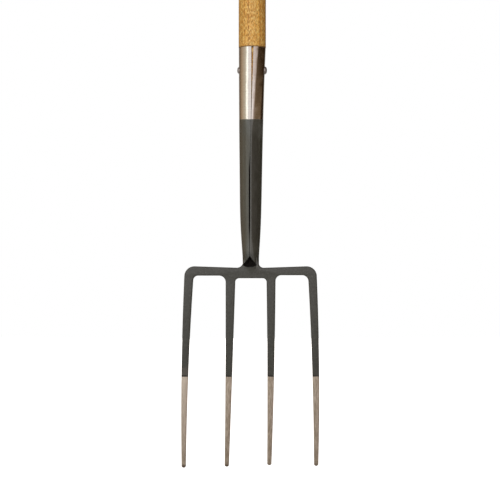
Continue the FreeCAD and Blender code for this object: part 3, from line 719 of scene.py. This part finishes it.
# ---------------------------------------------------------------------------------------------
# The cross grip: a barrel turned from ash, varnished, with a tenon at each end let into the arms.
# Its grain runs across the tool.
# ---------------------------------------------------------------------------------------------
GRIP_Z = 1062.0 * MM
GRIP_HALF_LENGTH = 44.6 * MM
GRIP_END_RADIUS, GRIP_MIDDLE_RADIUS, GRIP_SHOULDER = 14.0 * MM, 16.5 * MM, 1.6 * MM
TENON_RADIUS, TENON_LENGTH = 8.0 * MM, 11.0 * MM
GRIP_ROUND, GRIP_RINGS = 73, 121
GRIP_PITH = (8.0 * MM, 38.0 * MM)
GRIP_ALONG_LOG = 700.0 * MM


def inside_ends(tree, along, margin):
    """1 along a turned piece and 0 within a margin of its ends, where it closes to the middle."""
    from_middle = tree.maths("ABSOLUTE", tree.maths("SUBTRACT", along, 0.5))
    return tree.maths("GREATER_THAN", tree.maths("SUBTRACT", 0.5, from_middle), margin)


def grip_tree():
    """A turned barrel on the x axis with rounded shoulders, and a round tenon through it."""
    tree = Tree("grip", CentreX=0.0, Z=0.0, HalfLength=GRIP_HALF_LENGTH, EndRadius=GRIP_END_RADIUS,
                MiddleRadius=GRIP_MIDDLE_RADIUS, Shoulder=GRIP_SHOULDER, TenonRadius=TENON_RADIUS,
                TenonLength=TENON_LENGTH, Finish=None)
    given = tree.inputs
    sheet, around, along = tree.sheet(GRIP_ROUND, GRIP_RINGS)
    # Points crowd towards the shoulders, and the last step goes in to the middle of each end face.
    step = 1 / (GRIP_RINGS - 1)
    share = ramp(tree.group, along, step, 1 - step, -1.0, 1.0, "LINEAR")
    share = tree.maths("SINE", tree.maths("MULTIPLY", share, math.pi / 2))
    x = tree.maths("MULTIPLY", share, given["HalfLength"])
    swell = tree.maths("SUBTRACT", given["MiddleRadius"], given["EndRadius"])
    crown = tree.maths("SUBTRACT", 1.0, tree.maths("MULTIPLY", share, share))
    barrel = tree.maths("MULTIPLY_ADD", crown, swell, given["EndRadius"])
    from_end = tree.maths("SUBTRACT", given["HalfLength"], tree.maths("ABSOLUTE", x))
    into = tree.maths("SUBTRACT", 1.0, tree.maths("DIVIDE", from_end, given["Shoulder"]))
    into = tree.maths("MINIMUM", tree.maths("MAXIMUM", into, 0.0), 1.0)
    level = tree.maths("SQRT", tree.maths("SUBTRACT", 1.0, tree.maths("MULTIPLY", into, into)))
    drop = tree.maths("SUBTRACT", 1.0, level)
    radius = tree.maths("SUBTRACT", barrel, tree.maths("MULTIPLY", drop, given["Shoulder"]))
    radius = tree.maths("MULTIPLY", radius, inside_ends(tree, along, step / 2))
    body = tree.turned(sheet, around, x, radius)

    tenon_sheet, tenon_around, tenon_along = tree.sheet(around=41, along=4)
    reach = tree.maths("ADD", given["HalfLength"], given["TenonLength"])
    tenon_x = ramp(tree.group, tenon_along, 0.3, 0.7, -1.0, 1.0, "LINEAR")
    tenon_x = tree.maths("MULTIPLY", tenon_x, reach)
    tenon_radius = tree.maths("MULTIPLY", given["TenonRadius"], inside_ends(tree, tenon_along, 0.1))
    tenon = tree.turned(tenon_sheet, tenon_around, tenon_x, tenon_radius)
    placed = [tree.moved(solid, given["CentreX"], 0.0, given["Z"]) for solid in (body, tenon)]
    return tree.close(*placed)


grip_finish = ash_finish("ash_grip_varnished", GRIP_PITH, (0.74, 0.41, 0.115), (0.45, 0.21, 0.045),
                         (0.23, 0.095, 0.02), 0.45)
grip = made_by(grip_tree(), "ash_cross_grip", CentreX=SHAFT_X, Z=GRIP_Z, Finish=grip_finish)
lay_grain(grip.data, lambda x, y, z: (z - GRIP_Z, y, x + GRIP_ALONG_LOG))
fit_piece(grip, grip_finish, "cross_grip")


# ---------------------------------------------------------------------------------------------
# The grip rod and its washers: the same fastening again, right through both arms and the grip.
# ---------------------------------------------------------------------------------------------
cross_fastening("grip", ARM_SPREAD + SHAFT_TOP_RADIUS, GRIP_Z)


# ---------------------------------------------------------------------------------------------
# Floor, light and camera. The floor and everything behind are plain white. The light is broad and
# soft from the front and left; the right-hand side is kept dark, and a pale card stands behind.
# ---------------------------------------------------------------------------------------------
FLOOR_HALF = 3.0
floor_mesh = bpy.data.meshes.new("floor")
floor_mesh.from_pydata([(-FLOOR_HALF, -FLOOR_HALF, 0), (FLOOR_HALF, -FLOOR_HALF, 0),
                        (FLOOR_HALF, FLOOR_HALF, 0), (-FLOOR_HALF, FLOOR_HALF, 0)], [], [(0, 1, 2, 3)])
floor = bpy.data.objects.new("floor", floor_mesh)
scene.collection.objects.link(floor)
floor_material, floor_tree, floor_shader = new_material("floor_white")
floor_shader.inputs["Base Color"].default_value = (0.85, 0.84, 0.82, 1)
floor_shader.inputs["Roughness"].default_value = 0.9
floor_shader.inputs["Emission Color"].default_value = (1, 1, 1, 1)
camera_ray = floor_tree.nodes.new("ShaderNodeLightPath").outputs["Is Camera Ray"]
plug(floor_tree, camera_ray, floor_shader.inputs["Emission Strength"])
floor_mesh.materials.append(floor_material)

# What stands round the tool, by compass angle: 0 is in front of it, negative is to its left. A warm
# wall on the left, a narrow lit panel beside a broad white card in front, black cloth on the right
# and a pale card behind.
SURROUND = (
    (-180, (0.75, 0.73, 0.70)),
    (-158, (0.50, 0.45, 0.38)),
    (-138, (0.08, 0.05, 0.03)),
    (-100, (0.43, 0.31, 0.20)),
    (-60, (0.60, 0.53, 0.42)),
    (-51, (0.80, 0.78, 0.68)),
    (-45, (1.70, 1.70, 1.60)),
    (-38, (1.70, 1.70, 1.60)),
    (-33, (0.90, 0.87, 0.87)),
    (5, (1.02, 0.95, 0.95)),
    (32, (0.56, 0.46, 0.42)),
    (58, (0.18, 0.12, 0.07)),
    (98, (0.035, 0.018, 0.007)),
    (142, (0.02, 0.01, 0.005)),
    (162, (0.50, 0.46, 0.40)),
    (180, (0.75, 0.73, 0.70)),
)
BRIGHTEST = 2.0
world = bpy.data.worlds.new("studio")
scene.world = world
world.use_nodes = True
sky = world.node_tree
sky.nodes.clear()
look = sky.nodes.new("ShaderNodeTexCoord").outputs["Generated"]
compass = add_node(sky, "ShaderNodeSeparateXYZ", look)
forward = maths(sky, "MULTIPLY", compass.outputs[1], -1.0)
azimuth = maths(sky, "ARCTAN2", compass.outputs[0], forward)
turn = maths(sky, "MULTIPLY_ADD", azimuth, 0.5 / math.pi, 0.5)
surround = sky.nodes.new("ShaderNodeValToRGB")
sky.links.new(turn, surround.inputs[0])
stops = surround.color_ramp.elements
while len(stops) < len(SURROUND):
    stops.new(0.5)
for stop, (degrees, colour) in zip(stops, SURROUND):
    stop.position = degrees / 360 + 0.5
    stop.color = (*[value / BRIGHTEST for value in colour], 1)
overhead = ramp(sky, compass.outputs[2], 0.3, 0.95, BRIGHTEST, 0.5 * BRIGHTEST)
lit = add_node(sky, "ShaderNodeBackground", surround.outputs[0], overhead)
white = add_node(sky, "ShaderNodeBackground", (1.0, 1.0, 1.0), 1.0)
to_camera = sky.nodes.new("ShaderNodeLightPath").outputs["Is Camera Ray"]
both = add_node(sky, "ShaderNodeMixShader", to_camera, lit.outputs[0], white.outputs[0])
sky.links.new(both.outputs[0], sky.nodes.new("ShaderNodeOutputWorld").inputs[0])


def soft_light(name, place, aim, width, height, watts, colour):
    """A soft panel that lights the tool but isn't mirrored in its steel."""
    lamp = bpy.data.lights.new(name, "AREA")
    lamp.shape = "RECTANGLE"
    lamp.size, lamp.size_y = width, height
    lamp.energy = watts
    lamp.color = colour
    stand = bpy.data.objects.new(name, lamp)
    stand.location = place
    stand.rotation_euler = (Vector(aim) - Vector(place)).to_track_quat("-Z", "Y").to_euler()
    stand.visible_glossy = False
    scene.collection.objects.link(stand)


soft_light("key", place=(-0.35, -2.9, 0.9), aim=(0, 0, 0.4), width=1.4, height=1.4, watts=22,
           colour=(1.0, 0.98, 0.95))
soft_light("back_fill", place=(0, 2.9, 0.9), aim=(0, 0, 0.5), width=1.0, height=1.4, watts=14,
           colour=(1.0, 0.98, 0.96))

FRAME_WIDTH = 0.700
CAMERA_DISTANCE = 2.0
CAMERA_X, CAMERA_Z = -0.8 * MM, 308.3 * MM
SENSOR = 36.0
lens = bpy.data.cameras.new("camera")
lens.sensor_width = SENSOR
lens.lens = SENSOR * CAMERA_DISTANCE / FRAME_WIDTH
camera = bpy.data.objects.new("camera", lens)
camera.location = (CAMERA_X, -CAMERA_DISTANCE, CAMERA_Z)
camera.rotation_euler = (math.radians(90), 0, 0)
scene.collection.objects.link(camera)
scene.camera = camera
scene.view_settings.view_transform = "Standard"
